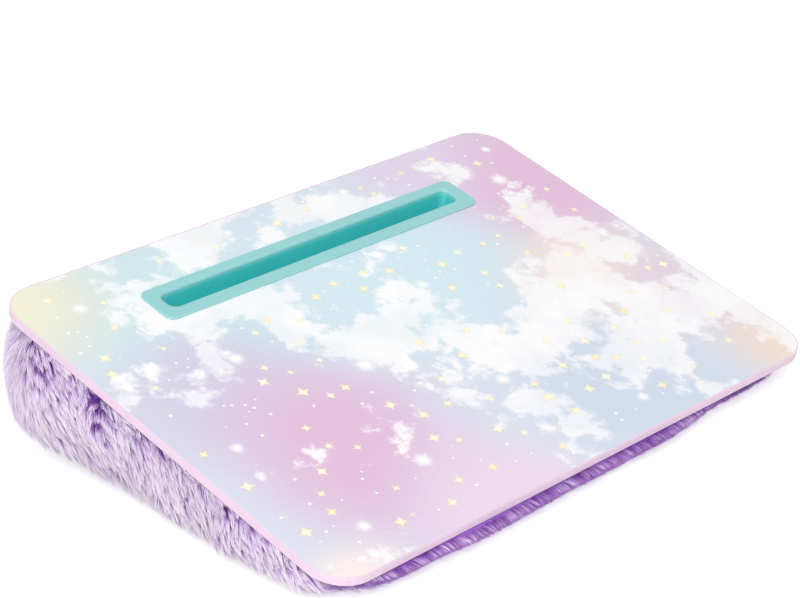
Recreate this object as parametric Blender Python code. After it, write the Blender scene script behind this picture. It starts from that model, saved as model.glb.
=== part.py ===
"""A lap desk: a printed fibreboard top with a moulded slot, on a wedge cushion in a long-pile cover.

Metres, +Z up. The origin is on the ground under the middle of the board. +X runs to the right along the
board's long side, and +Y to its raised back edge. The board's own pieces are drawn flat, with w = 0 on the
printed face, and an empty tilts and lifts them all.
"""

import math

import bmesh
import bpy
from mathutils import Vector

# Board
BOARD_WIDTH = 0.435
BOARD_DEPTH = 0.310
BOARD_CORNER_RADIUS = 0.025
BOARD_TILT = math.radians(14.5)
FRONT_EDGE_HEIGHT = 0.0165
CORE_THICKNESS = 0.0044
PRINT_SHEET_THICKNESS = 0.0003
BACKING_SHEET_THICKNESS = 0.0003
EDGE_BAND_THICKNESS = 0.0008
GAP = 0.0003

# Slot insert
MOUTH_LENGTH = 0.256
MOUTH_WIDTH = 0.0146
MOUTH_CORNER_RADIUS = 0.0055
MOUTH_ROUNDING = 0.0026
FLANGE_END_MARGIN = 0.0102
FLANGE_FRONT_MARGIN = 0.0101
FLANGE_BACK_MARGIN = 0.0081
FLANGE_THICKNESS = 0.0012
FLANGE_CORNER_RADIUS = 0.006
FLANGE_EDGE_ROUNDING = 0.0005
FLANGE_FROM_BACK_EDGE = 0.0411
SLOT_DEPTH = 0.014
SLOT_WALL = 0.0015
SLOT_FLOOR_WIDTH = 0.0095
SLOT_FRONT_DRAFT = 0.0008
SLOT_END_DRAFT = 0.0045
SLOT_FLOOR_ROUNDING = 0.0016
SLOT_MOST_ROUND_SHARE = 0.9
CUTOUT_CLEARANCE = 0.0004
SNAP_TAB_LENGTH = 0.012
SNAP_TAB_HEIGHT = 0.0028
SNAP_TAB_REACH = 0.0010
SNAP_TAB_LEAD_IN = 0.0009
SNAP_TAB_SPACING = 0.090
SNAP_TABS_PER_SIDE = 3

# Cushion
COVER_DEPTH = 0.005
CUSHION_INSET = 0.005
CUSHION_CORNER_RADIUS = 0.040
CUSHION_CROWN_SHARE = 0.11
CUSHION_WIDEST_SHARE = 0.48
CUSHION_ROUNDING_SHARE = 0.24
CUSHION_LEAST_ROUNDING = 0.005
CUSHION_DRAW_IN = 0.0015
CUSHION_UPPER_POWER = 3
CUSHION_FRONT_CORNER_PULL = 0.002
CUSHION_BACK_CORNER_FULLNESS = 0.008
CUSHION_CORNER_UNDERCUT = 0.019
CUSHION_CORNER_REACH = 0.090
BASE_PANEL_MARGIN = 0.008
LINING_THICKNESS = 0.0008
POCKET_CLEARANCE = 0.0005
BOND_SHEET_THICKNESS = 0.0003
BOND_SHEET_MARGIN = 0.008

# Steps of the round shapes
ARC_STEPS = 8
SLOT_ARC_STEPS = 6
ROUNDING_STEPS = 4
CUSHION_RUN_STEPS = 8
CUSHION_LOWER_STEPS = 5
CUSHION_UPPER_STEPS = 5
SHARP_EDGE_ANGLE = math.radians(35)

# Levels across the board, down from the printed face
CORE_TOP = -PRINT_SHEET_THICKNESS - GAP
CORE_BOTTOM = CORE_TOP - CORE_THICKNESS
BACKING_TOP = CORE_BOTTOM - GAP
UNDERSIDE = BACKING_TOP - BACKING_SHEET_THICKNESS
COVER_TOP = UNDERSIDE - GAP
BOND_TOP = UNDERSIDE - GAP
LINING_TOP = BOND_TOP - BOND_SHEET_THICKNESS - GAP
LINING_BOTTOM = LINING_TOP - LINING_THICKNESS
FILL_TOP = LINING_BOTTOM - GAP
SLOT_UNDERSIDE = -SLOT_DEPTH - SLOT_WALL
POCKET_FLOOR = SLOT_UNDERSIDE - GAP
POCKET_UNDERSIDE = POCKET_FLOOR - LINING_THICKNESS
FILL_POCKET_FLOOR = POCKET_UNDERSIDE - GAP
BOARD_HEIGHT = (
    FRONT_EDGE_HEIGHT
    + BOARD_DEPTH / 2 * math.sin(BOARD_TILT)
    - UNDERSIDE * math.cos(BOARD_TILT)
)

# Places along the board's depth
FLANGE_BACK = BOARD_DEPTH / 2 - FLANGE_FROM_BACK_EDGE
MOUTH_BACK = FLANGE_BACK - FLANGE_BACK_MARGIN
MOUTH_FRONT = MOUTH_BACK - MOUTH_WIDTH
FLANGE_FRONT = MOUTH_FRONT - FLANGE_FRONT_MARGIN

# The cushion's outline: half its width, half its depth and its corner radius
CUSHION_SIZE = (
    BOARD_WIDTH / 2 - CUSHION_INSET,
    BOARD_DEPTH / 2 - CUSHION_INSET,
    CUSHION_CORNER_RADIUS,
)


def clear_scene():
    for obj in list(bpy.data.objects):
        bpy.data.objects.remove(obj, do_unlink=True)


def new_collection(name):
    collection = bpy.data.collections.new(name)
    bpy.context.scene.collection.children.link(collection)
    return collection


def new_material(name, colour, roughness):
    material = bpy.data.materials.new(name)
    material.use_nodes = True
    shader = material.node_tree.nodes["Principled BSDF"]
    shader.inputs["Base Color"].default_value = (*colour, 1)
    shader.inputs["Roughness"].default_value = roughness
    shader.inputs["Metallic"].default_value = 0
    material.diffuse_color = (*colour, 1)
    return material


def add_object(name, data, material, collection, parent=None):
    obj = bpy.data.objects.new(name, data)
    collection.objects.link(obj)
    data.materials.append(material)
    obj.parent = parent
    return obj


def run_station(side, share, half_u, half_v, radius):
    """A point on a straight side of a rounded rectangle, its outward direction and its way to a corner arc.

    Sides count anticlockwise from the right: 0 right, 1 back, 2 left, 3 front.
    """
    angle = side * math.pi / 2
    normal = Vector((math.cos(angle), math.sin(angle)))
    along = Vector((-math.sin(angle), math.cos(angle)))
    reach = half_u if side % 2 == 0 else half_v
    half_run = (half_v if side % 2 == 0 else half_u) - radius
    point = normal * reach + along * half_run * (2 * share - 1)
    return point, normal, 2 * half_run * min(share, 1 - share)


def arc_station(side, share, half_u, half_v, radius):
    """The same on the corner arc that follows a side."""
    end, normal, _ = run_station(side, 1, half_u, half_v, radius)
    angle = (side + share) * math.pi / 2
    outward = Vector((math.cos(angle), math.sin(angle)))
    return end + (outward - normal) * radius, outward, 0.0


def run_shares(run_steps):
    """Places along a straight side, closer together near its corners."""
    return [(1 - math.cos(math.pi * step / run_steps)) / 2 for step in range(1, run_steps)]


def outline_stations(half_u, half_v, radius, run_steps, arc_steps):
    """Stations all the way round a rounded rectangle."""
    size = (half_u, half_v, radius)
    stations = []
    for side in range(4):
        for share in run_shares(run_steps):
            stations.append(run_station(side, share, *size))
        for step in range(arc_steps + 1):
            stations.append(arc_station(side, step / arc_steps, *size))
    return stations


def outline(half_u, half_v, radius, centre_v=0.0, run_steps=1, arc_steps=ARC_STEPS):
    """The same as points, moved along the board's depth."""
    stations = outline_stations(half_u, half_v, radius, run_steps, arc_steps)
    return [(point.x, point.y + centre_v) for point, _, _ in stations]


def board_outline(inset):
    return outline(BOARD_WIDTH / 2 - inset, BOARD_DEPTH / 2 - inset, BOARD_CORNER_RADIUS - inset)


def slot_outline(depth_share, grow, arc_steps=SLOT_ARC_STEPS, run_steps=1):
    """The slot's section at a share of its depth below the printed face, made larger all round by grow."""
    front = MOUTH_FRONT + SLOT_FRONT_DRAFT * depth_share - grow
    floor_back = MOUTH_FRONT + SLOT_FRONT_DRAFT + SLOT_FLOOR_WIDTH
    back = MOUTH_BACK + (floor_back - MOUTH_BACK) * depth_share + grow
    half_u = MOUTH_LENGTH / 2 - SLOT_END_DRAFT * depth_share + grow
    half_v = (back - front) / 2
    radius = min(MOUTH_CORNER_RADIUS + grow, half_v * SLOT_MOST_ROUND_SHARE)
    return outline(half_u, half_v, radius, (front + back) / 2, run_steps, arc_steps)


def pocket_outline(grow, run_steps=CUSHION_RUN_STEPS, arc_steps=ARC_STEPS):
    """The well that the cushion leaves for the slot and its snap tabs."""
    room = SLOT_WALL + CUTOUT_CLEARANCE + SNAP_TAB_REACH + POCKET_CLEARANCE
    return slot_outline(0, room + grow, arc_steps, run_steps)


def plate(name, outlines, top, bottom, material, collection, parent):
    """A flat sheet between two levels. Outlines after the first are holes."""
    curve = bpy.data.curves.new(name, "CURVE")
    curve.dimensions = "2D"
    curve.fill_mode = "BOTH"
    curve.extrude = (top - bottom) / 2
    for points in outlines:
        spline = curve.splines.new("POLY")
        spline.points.add(len(points) - 1)
        for target, (u, v) in zip(spline.points, points):
            target.co = (u, v, 0, 1)
        spline.use_cyclic_u = True
    obj = add_object(name, curve, material, collection, parent)
    obj.location.z = (top + bottom) / 2
    return obj


def loft(name, rings, material, collection, parent=None, split="BEAUTY"):
    """A closed solid through rings of equally many points, the first and the last filled."""
    form = bmesh.new()
    rows = [[form.verts.new(point) for point in ring] for ring in rings]
    for lower, upper in zip(rows, rows[1:]):
        for index, _ in enumerate(lower):
            after = (index + 1) % len(lower)
            form.faces.new((lower[index], lower[after], upper[after], upper[index]))
    form.faces.new(reversed(rows[0]))
    form.faces.new(rows[-1])
    return finish_mesh(name, form, material, collection, parent, split)


def finish_mesh(name, form, material, collection, parent, split):
    """Split says which way a bent quad folds, so that a face and the one behind it can fold alike."""
    bmesh.ops.triangulate(form, faces=form.faces, quad_method=split)
    bmesh.ops.recalc_face_normals(form, faces=form.faces)
    mesh = bpy.data.meshes.new(name)
    form.to_mesh(mesh)
    form.free()
    mesh.shade_smooth()
    mesh.set_sharp_from_angle(angle=SHARP_EDGE_ANGLE)
    return add_object(name, mesh, material, collection, parent)


def ring_at(points, level):
    return [(u, v, level) for u, v in points]


def add_core(material, collection, frame):
    """The fibreboard panel, routed right through for the slot."""
    edge = board_outline(EDGE_BAND_THICKNESS + GAP)
    cutout = slot_outline(0, SLOT_WALL + CUTOUT_CLEARANCE)
    plate("board_core", [edge, cutout], CORE_TOP, CORE_BOTTOM, material, collection, frame)


def add_sheets(print_material, backing_material, collection, frame):
    """The printed sheet on the panel's face and the plain one on its underside."""
    edge = board_outline(EDGE_BAND_THICKNESS + GAP)
    cutout = slot_outline(0, SLOT_WALL + CUTOUT_CLEARANCE)
    plate("print_sheet", [edge, cutout], 0, -PRINT_SHEET_THICKNESS, print_material, collection, frame)
    plate("backing_sheet", [edge, cutout], BACKING_TOP, UNDERSIDE, backing_material, collection, frame)


def add_edge_band(material, collection, frame):
    """The strip round the panel's edge, as tall as panel and sheets together."""
    outlines = [board_outline(0), board_outline(EDGE_BAND_THICKNESS)]
    plate("edge_band", outlines, 0, UNDERSIDE, material, collection, frame)


def slot_rings():
    """The insert's skin as one run of rings: its underside, the flange, then down inside to its floor."""
    seat = GAP
    top = seat + FLANGE_THICKNESS
    half_u = MOUTH_LENGTH / 2 + FLANGE_END_MARGIN
    half_v = (FLANGE_BACK - FLANGE_FRONT) / 2
    centre_v = (FLANGE_BACK + FLANGE_FRONT) / 2
    rounding = FLANGE_EDGE_ROUNDING

    def flange(inset):
        size = (half_u - inset, half_v - inset, FLANGE_CORNER_RADIUS - inset)
        return outline(*size, centre_v, arc_steps=SLOT_ARC_STEPS)

    rings = [
        ring_at(slot_outline(1, SLOT_WALL - SLOT_FLOOR_ROUNDING), SLOT_UNDERSIDE),
        ring_at(slot_outline(1, SLOT_WALL), SLOT_UNDERSIDE + SLOT_FLOOR_ROUNDING),
        ring_at(slot_outline(0, SLOT_WALL), seat),
        ring_at(flange(0), seat),
        ring_at(flange(0), top - rounding),
        ring_at(flange(rounding), top),
    ]
    for step in range(ROUNDING_STEPS + 1):
        turn = step / ROUNDING_STEPS * math.pi / 2
        level = top - MOUTH_ROUNDING * (1 - math.cos(turn))
        rings.append(ring_at(slot_outline(0, MOUTH_ROUNDING * (1 - math.sin(turn))), level))
    for step in range(ROUNDING_STEPS + 1):
        turn = step / ROUNDING_STEPS * math.pi / 2
        level = -SLOT_DEPTH + SLOT_FLOOR_ROUNDING * (1 - math.sin(turn))
        inset = SLOT_FLOOR_ROUNDING * (1 - math.cos(turn))
        rings.append(ring_at(slot_outline(1, -inset), level))
    return rings


def snap_tab(name, u, side, material, helpers, frame):
    """A wedge under the board that a pressed-in insert springs out behind. Its lower edge leads in."""
    top = COVER_TOP
    bottom = top - SNAP_TAB_HEIGHT
    section = slot_outline(-bottom / SLOT_DEPTH, SLOT_WALL / 2)
    cutout = slot_outline(0, SLOT_WALL + CUTOUT_CLEARANCE + SNAP_TAB_REACH)
    root = max(section, key=lambda point: side * point[1])[1]
    tip = max(cutout, key=lambda point: side * point[1])[1]

    def ring(level, reach):
        left, right = u - SNAP_TAB_LENGTH / 2, u + SNAP_TAB_LENGTH / 2
        return ring_at([(left, root), (right, root), (right, reach), (left, reach)], level)

    rings = [ring(bottom, tip - side * SNAP_TAB_LEAD_IN), ring(top, tip)]
    tab = loft(name, rings, material, helpers, frame)
    tab.hide_render = True
    tab.display_type = "WIRE"
    return tab


def add_slot_insert(material, collection, helpers, frame):
    """One moulding: flange, trough and the snap tabs that hold it in the board's cut-out."""
    insert = loft("tablet_slot_insert", slot_rings(), material, collection, frame)
    middle = (SNAP_TABS_PER_SIDE - 1) / 2
    for side in (-1, 1):
        for place in range(SNAP_TABS_PER_SIDE):
            name = f"snap_tab_{'back' if side > 0 else 'front'}_{place + 1}"
            u = (place - middle) * SNAP_TAB_SPACING
            tab = snap_tab(name, u, side, material, helpers, frame)
            union = insert.modifiers.new(name, "BOOLEAN")
            union.operation = "UNION"
            union.solver = "EXACT"
            union.object = tab


def plane_height(y, level):
    """The height above the ground, at y, of the plane at this level across the tilted board."""
    return BOARD_HEIGHT + y * math.tan(BOARD_TILT) + level / math.cos(BOARD_TILT)


def cushion_section(station, depth, top_level):
    """The cushion's side at one station, from the base seam to the board, at a depth inside its outer face.

    The side leaves the ground in a quarter of an ellipse, is widest near half its height and comes in
    again to the seam under the board. Every share is of the height that the wedge has here. The front
    corners are pulled in a little, the back ones are stuffed fuller, and all four are rounder below.
    """
    point, normal, way_to_corner = station
    x = point.x
    y = point.y * math.cos(BOARD_TILT) - COVER_TOP * math.sin(BOARD_TILT)
    height = plane_height(y, COVER_TOP)
    corner = (1 + math.cos(math.pi * min(way_to_corner / CUSHION_CORNER_REACH, 1))) / 2
    back = (height - FRONT_EDGE_HEIGHT) / (BOARD_DEPTH * math.sin(BOARD_TILT))
    fullness = CUSHION_BACK_CORNER_FULLNESS * back - CUSHION_FRONT_CORNER_PULL * (1 - back)
    crown = CUSHION_CROWN_SHARE * height - CUSHION_DRAW_IN * (1 - corner) + fullness * corner
    rounding = (
        CUSHION_LEAST_ROUNDING + CUSHION_ROUNDING_SHARE * height + CUSHION_CORNER_UNDERCUT * corner
    )
    widest = CUSHION_WIDEST_SHARE * height
    contact = crown - rounding
    profile = [(contact - BASE_PANEL_MARGIN, depth)]
    for step in range(CUSHION_LOWER_STEPS + 1):
        turn = step / CUSHION_LOWER_STEPS * math.pi / 2
        out = contact + (rounding - depth) * math.sin(turn)
        profile.append((out, widest - (widest - depth) * math.cos(turn)))
    top = plane_height(y - depth * normal.y, top_level)
    for step in range(1, CUSHION_UPPER_STEPS + 1):
        rise = step / CUSHION_UPPER_STEPS
        out = crown * (1 - rise**CUSHION_UPPER_POWER) - depth
        profile.append((out, widest + (top - widest) * rise))
    return [(x + out * normal.x, y + out * normal.y, z) for out, z in profile]


def cushion_columns(stations, depth, top_level):
    return [cushion_section(station, depth, top_level) for station in stations]


def seam_shares(side):
    """The share of a side's straight run at which an upright seam crosses it, and half the seam's gap."""
    half_u, half_v, radius = CUSHION_SIZE
    run = 2 * ((half_v if side % 2 == 0 else half_u) - radius)
    return run_shares(CUSHION_RUN_STEPS)[0], GAP / 2 / run


def side_panel_stations(side):
    """A panel on one straight side, between its two seams."""
    seam, half_gap = seam_shares(side)
    inner = run_shares(CUSHION_RUN_STEPS)[1:-1]
    shares = [seam + half_gap, *inner, 1 - seam - half_gap]
    return [run_station(side, share, *CUSHION_SIZE) for share in shares]


def end_panel_stations(side):
    """A panel that covers one side and both corners beside it."""
    before, after = (side - 1) % 4, (side + 1) % 4
    seam, half_gap = seam_shares(before)
    arcs = [step / ARC_STEPS for step in range(ARC_STEPS + 1)]
    inner = run_shares(CUSHION_RUN_STEPS)
    return [
        run_station(before, 1 - seam + half_gap, *CUSHION_SIZE),
        *(arc_station(before, share, *CUSHION_SIZE) for share in arcs),
        *(run_station(side, share, *CUSHION_SIZE) for share in inner),
        *(arc_station(side, share, *CUSHION_SIZE) for share in arcs),
        run_station(after, seam - half_gap, *CUSHION_SIZE),
    ]


def add_cover_panel(name, stations, material, collection):
    """One sewn panel of the cover, as thick as its backing and laid pile, from base seam to board."""
    outer = cushion_columns(stations, 0, COVER_TOP)
    inner = cushion_columns(stations, COVER_DEPTH, COVER_TOP)
    form = bmesh.new()
    loops = []
    for outer_column, inner_column in zip(outer, inner):
        loops.append([form.verts.new(point) for point in outer_column + inner_column[::-1]])
    for one, other in zip(loops, loops[1:]):
        for index, _ in enumerate(one):
            after = (index + 1) % len(one)
            form.faces.new((one[index], one[after], other[after], other[index]))
    half = len(loops[0]) // 2
    for loop in (loops[0], loops[-1]):
        for index in range(half - 1):
            form.faces.new((loop[index], loop[index + 1], loop[-2 - index], loop[-1 - index]))
    finish_mesh(name, form, material, collection, None, "FIXED")


def cushion_stations():
    """Stations all round the cushion, in step with those of its panels."""
    return outline_stations(*CUSHION_SIZE, CUSHION_RUN_STEPS, ARC_STEPS)


def add_base_panel(material, collection):
    """The cover's flat base, inside the panels' lower seam."""
    stations = cushion_stations()
    edge = []
    for column, (_, normal, _) in zip(cushion_columns(stations, 0, COVER_TOP), stations):
        x, y, _ = column[0]
        edge.append((x - GAP * normal.x, y - GAP * normal.y))
    rings = [ring_at(edge, 0), ring_at(edge, COVER_DEPTH)]
    loft("cover_base", rings, material, collection)


def lift(points, level):
    """Points drawn on the board, at a level across it, as world points."""
    cos, sin = math.cos(BOARD_TILT), math.sin(BOARD_TILT)
    return [(u, v * cos - level * sin, BOARD_HEIGHT + v * sin + level * cos) for u, v in points]


def add_fill(material, collection):
    """The stuffing, one block that fills the cover and leaves the well for the slot."""
    columns = cushion_columns(cushion_stations(), COVER_DEPTH + GAP, FILL_TOP)
    rings = [list(ring) for ring in zip(*columns)]
    well = pocket_outline(LINING_THICKNESS + GAP)
    rings.append(lift(well, FILL_TOP))
    rings.append(lift(well, FILL_POCKET_FLOOR))
    loft("cushion_fill", rings, material, collection, split="ALTERNATE")


def lining_edge(inset):
    """The outline of the lining, just inside the cover's panels, or further in."""
    half_u, half_v, radius = (size - COVER_DEPTH - GAP - inset for size in CUSHION_SIZE)
    return outline(half_u, half_v, radius, run_steps=CUSHION_RUN_STEPS)


def add_lining(material, collection, frame):
    """The plain cloth that closes the cushion under the board, pressed down into a well by the slot."""
    edge = lining_edge(0)
    rings = [
        ring_at(pocket_outline(LINING_THICKNESS), POCKET_UNDERSIDE),
        ring_at(pocket_outline(LINING_THICKNESS), LINING_BOTTOM),
        ring_at(edge, LINING_BOTTOM),
        ring_at(edge, LINING_TOP),
        ring_at(pocket_outline(0), LINING_TOP),
        ring_at(pocket_outline(0), POCKET_FLOOR),
    ]
    loft("cushion_lining", rings, material, collection, frame)


def add_bond_sheet(material, collection, frame):
    """The adhesive sheet between the board's underside and the cushion's lining."""
    outlines = [lining_edge(BOND_SHEET_MARGIN), pocket_outline(BOND_SHEET_MARGIN)]
    bottom = BOND_TOP - BOND_SHEET_THICKNESS
    plate("bond_sheet", outlines, BOND_TOP, bottom, material, collection, frame)


def main():
    clear_scene()
    parts = new_collection("lap_desk")
    helpers = new_collection("helpers")
    frame = bpy.data.objects.new("board_frame", None)
    parts.objects.link(frame)
    frame.location.z = BOARD_HEIGHT
    frame.rotation_euler.x = BOARD_TILT

    add_core(new_material("fibreboard", (0.42, 0.29, 0.18), 0.8), parts, frame)
    add_sheets(
        new_material("printed_film", (0.72, 0.70, 0.83), 0.35),
        new_material("backing_paper", (0.85, 0.83, 0.80), 0.7),
        parts,
        frame,
    )
    add_edge_band(new_material("pink_edging", (0.86, 0.64, 0.79), 0.4), parts, frame)
    add_slot_insert(new_material("teal_plastic", (0.33, 0.69, 0.69), 0.35), parts, helpers, frame)
    add_bond_sheet(new_material("adhesive", (0.80, 0.74, 0.55), 0.5), parts, frame)
    add_lining(new_material("lining_cloth", (0.70, 0.62, 0.78), 0.9), parts, frame)

    fur = new_material("lilac_fur", (0.60, 0.44, 0.76), 0.95)
    add_cover_panel("cover_right", side_panel_stations(0), fur, parts)
    add_cover_panel("cover_back", end_panel_stations(1), fur, parts)
    add_cover_panel("cover_left", side_panel_stations(2), fur, parts)
    add_cover_panel("cover_front", end_panel_stations(3), fur, parts)
    add_base_panel(fur, parts)
    add_fill(new_material("polyester_fibre", (0.90, 0.90, 0.88), 0.95), parts)


main()
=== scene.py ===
from math import cos, pi, radians, sin

import bpy
import numpy as np
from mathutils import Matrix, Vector
from mathutils.kdtree import KDTree


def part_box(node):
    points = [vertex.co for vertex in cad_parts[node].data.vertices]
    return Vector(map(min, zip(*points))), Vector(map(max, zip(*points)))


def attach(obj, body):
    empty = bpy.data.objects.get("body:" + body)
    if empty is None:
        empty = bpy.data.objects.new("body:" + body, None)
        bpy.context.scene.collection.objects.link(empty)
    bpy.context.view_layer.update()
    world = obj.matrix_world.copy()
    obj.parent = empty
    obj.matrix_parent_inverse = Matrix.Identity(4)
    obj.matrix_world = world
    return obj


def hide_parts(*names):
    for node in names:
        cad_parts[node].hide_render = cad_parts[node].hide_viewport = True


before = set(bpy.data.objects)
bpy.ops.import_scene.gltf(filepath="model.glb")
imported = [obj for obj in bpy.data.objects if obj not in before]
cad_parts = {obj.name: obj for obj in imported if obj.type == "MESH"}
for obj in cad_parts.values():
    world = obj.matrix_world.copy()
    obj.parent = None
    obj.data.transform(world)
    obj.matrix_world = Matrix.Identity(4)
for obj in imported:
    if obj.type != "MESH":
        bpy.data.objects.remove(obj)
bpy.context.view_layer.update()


# Board panel. The real one is a 4.4 mm panel of medium-density fibreboard, sawn and routed to a
# rounded outline with a cut-out for the slot. Only its pressed, sanded wood fibres would show,
# and the sheets and the edge strip hide them.

def linear(hex_colour):
    """An sRGB hex colour as the linear colour that the shader takes."""
    channels = [int(hex_colour[i:i + 2], 16) / 255 for i in (1, 3, 5)]
    return [c / 12.92 if c <= 0.04045 else ((c + 0.055) / 1.055) ** 2.4 for c in channels] + [1]


def add_node(material, kind, links=None, stops=None, **settings):
    """Adds a node, sets it, and joins or sets its inputs; stops are the colours of a ramp."""
    node = material.node_tree.nodes.new(kind)
    for name, value in settings.items():
        setattr(node, name, value)
    for place, colour in stops or []:
        ends = {0: 0, 1: -1}
        marks = node.color_ramp.elements
        mark = marks[ends[place]] if place in ends else marks.new(place)
        mark.color = linear(colour)
    for socket, value in (links or {}).items():
        if isinstance(value, bpy.types.NodeSocket):
            material.node_tree.links.new(value, node.inputs[socket])
        else:
            node.inputs[socket].default_value = value
    return node


def new_material(name):
    """An empty material and the place that its pattern is drawn in, which is metres in the frame."""
    material = bpy.data.materials.new(name)
    material.use_nodes = True
    material.node_tree.nodes.clear()
    place = add_node(material, "ShaderNodeTexCoord").outputs["Object"]
    return material, place


def finish_material(material, surface):
    """Joins the surface to the material's output."""
    add_node(material, "ShaderNodeOutputMaterial", {"Surface": surface.outputs["BSDF"]})
    return material


def dress(node_name, material):
    """Puts the material in the slots of a CAD node."""
    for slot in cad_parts[node_name].material_slots:
        slot.material = material


FIBRE_LENGTH = 0.0012

# Medium-density fibreboard: pressed wood fibres in resin, which look like fine brown felt.
fibreboard, place = new_material("medium_density_fibreboard")
fibres = add_node(fibreboard, "ShaderNodeTexNoise", {
    "Vector": place, "Scale": 1 / FIBRE_LENGTH, "Detail": 3.0, "Roughness": 0.7})
brown = add_node(fibreboard, "ShaderNodeValToRGB", {"Fac": fibres.outputs["Fac"]}, stops=[
    (0, "#8E6B47"), (0.5, "#A8845C"), (1, "#C29E72")])
grain = add_node(fibreboard, "ShaderNodeBump", {
    "Height": fibres.outputs["Fac"], "Strength": 0.4, "Distance": 0.0001})
dress("board_core", finish_material(fibreboard, add_node(
    fibreboard, "ShaderNodeBsdfPrincipled", {
        "Base Color": brown.outputs["Color"], "Roughness": 0.85,
        "Normal": grain.outputs["Normal"]})))


# Backing sheet. A plain melamine-soaked paper pressed on the panel's underside, which keeps the
# panel from bowing. It is off-white, matt and faintly mottled by the paper's fibres.

PAPER_FLOC = 0.004

backing_paper, place = new_material("melamine_backing_paper")
floc = add_node(backing_paper, "ShaderNodeTexNoise", {
    "Vector": place, "Scale": 1 / PAPER_FLOC, "Detail": 4.0, "Roughness": 0.6})
off_white = add_node(backing_paper, "ShaderNodeValToRGB", {"Fac": floc.outputs["Fac"]}, stops=[
    (0, "#DFDAD0"), (1, "#F0ECE4")])
tooth = add_node(backing_paper, "ShaderNodeBump", {
    "Height": floc.outputs["Fac"], "Strength": 0.2, "Distance": 0.00005})
dress("backing_sheet", finish_material(backing_paper, add_node(
    backing_paper, "ShaderNodeBsdfPrincipled", {
        "Base Color": off_white.outputs["Color"], "Roughness": 0.6,
        "Normal": tooth.outputs["Normal"]})))


# Printed sheet. A paper printed in soft pastels under a satin laminate, pressed on the panel's
# face. The print is a plain cloudy sky: wide soft colour fields with white clouds drifting over.

BOARD_TILT = radians(14.5)

sheet_low, sheet_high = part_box("print_sheet")
SHEET_HALF_WIDTH = sheet_high.x
SHEET_HALF_DEPTH = -sheet_low.y / cos(BOARD_TILT)
SHEET_HEIGHT = sheet_high.z - SHEET_HALF_DEPTH * sin(BOARD_TILT)


def on_board(across, up, above=0.0):
    """A point given on the board's face: across it, up its slope, and above it, in metres."""
    y = up * cos(BOARD_TILT) - above * sin(BOARD_TILT)
    z = SHEET_HEIGHT + up * sin(BOARD_TILT) + above * cos(BOARD_TILT)
    return Vector((across, y, z))


# Each field of colour: across, up the slope, how far it reaches, and its colour.
COLOUR_FIELDS = [
    (-0.120, 0.085, 0.150, "#CDE6EA"), (0.030, 0.060, 0.170, "#D3E8F0"),
    (-0.165, 0.010, 0.100, "#D3CDE3"), (-0.130, -0.075, 0.120, "#DFBAD8"),
    (0.195, 0.090, 0.130, "#E4BEDA"), (0.130, 0.150, 0.080, "#E0D4E8"),
    (0.150, -0.020, 0.095, "#F2E1DA"), (0.205, -0.060, 0.080, "#E2D4E2"),
    (0.075, -0.125, 0.110, "#CFD9E9"), (0.215, -0.150, 0.080, "#EFDCCF"),
    (-0.080, -0.160, 0.100, "#E9D6E8"), (-0.205, -0.165, 0.060, "#F9E9E6"),
    (-0.225, 0.165, 0.110, "#EEECD2"),
]
FIELD_CORE = 0.15
DRIFT_WIDTH = 1 / 6
FIELD_DRIFT = 0.07

# Each glint in the print: across, up the slope, and how long its longest ray is.
GLINTS = [
    (-0.178, 0.120, 0.0085), (-0.128, 0.032, 0.0100), (-0.184, -0.034, 0.0075), (-0.062, -0.014, 0.0120),
    (-0.097, -0.100, 0.0105), (-0.168, -0.124, 0.0080), (0.004, -0.070, 0.0090), (0.032, 0.030, 0.0085),
    (0.070, -0.130, 0.0075), (0.098, -0.030, 0.0110), (0.166, -0.094, 0.0085), (0.192, 0.012, 0.0095),
    (0.175, 0.096, 0.0115), (0.196, 0.130, 0.0070), (0.062, 0.138, 0.0080), (-0.042, 0.139, 0.0065),
]
GLINT_HALO = 0.85
HALO_WHITE = 0.9

# The clouds, in metres: wide banks, round puffs that wander off their places, wisps at the rims,
# and soft shading in the white. Their place picks a part of the pattern, and their rim is where
# they start to show and where they are full.
BANK_WIDTH = 0.20
PUFF_WIDTH = 0.045
PUFF_SHARE = -0.5
WANDER_WIDTH = 1 / 14
PUFF_WANDER = 0.03
WISP_WIDTH = 0.033
WISP_SHARE = 0.35
SHADING_WIDTH = 1 / 22
SHADING = (0.38, 0.62)
THINNEST_WHITE = 0.62
CLOUD_PLACE = (3.1, 0.7, 1.4)
CLOUD_RIM = (0.490, 0.540)

# Places where the clouds thin out: across, up the slope, how far it reaches, and how much.
CLEARINGS = [(-0.205, 0.125, 0.085, 0.10), (-0.125, 0.045, 0.060, 0.05), (0.190, -0.030, 0.060, 0.03)]
CLEARING_CORE = 0.3
INK_GRAIN = 0.0009
INK_SPREAD = (0.97, 1.03)
SATIN_ROUGHNESS = (0.34, 0.46)

print_film, place = new_material("pastel_print_under_satin_laminate")
drift = add_node(print_film, "ShaderNodeTexNoise", {
    "Vector": place, "Scale": 1 / DRIFT_WIDTH, "Detail": 3.0, "Roughness": 0.5})
centred = add_node(print_film, "ShaderNodeVectorMath", {
    0: drift.outputs["Color"], 1: (0.5, 0.5, 0.5)}, operation="SUBTRACT")
drifted = add_node(print_film, "ShaderNodeVectorMath", {
    0: centred.outputs["Vector"], 1: (FIELD_DRIFT,) * 3, 2: place}, operation="MULTIPLY_ADD")


def fading(spread_over, centre, reach, core, most, curve):
    """A value that grows from 0 this far from a place on the board to its most at the core."""
    away = add_node(print_film, "ShaderNodeVectorMath", {
        0: spread_over, 1: on_board(*centre)}, operation="DISTANCE")
    return add_node(print_film, "ShaderNodeMapRange", {
        "Value": away.outputs["Value"], "From Min": reach, "From Max": core, "To Max": most},
        interpolation_type=curve).outputs["Result"]


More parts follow.
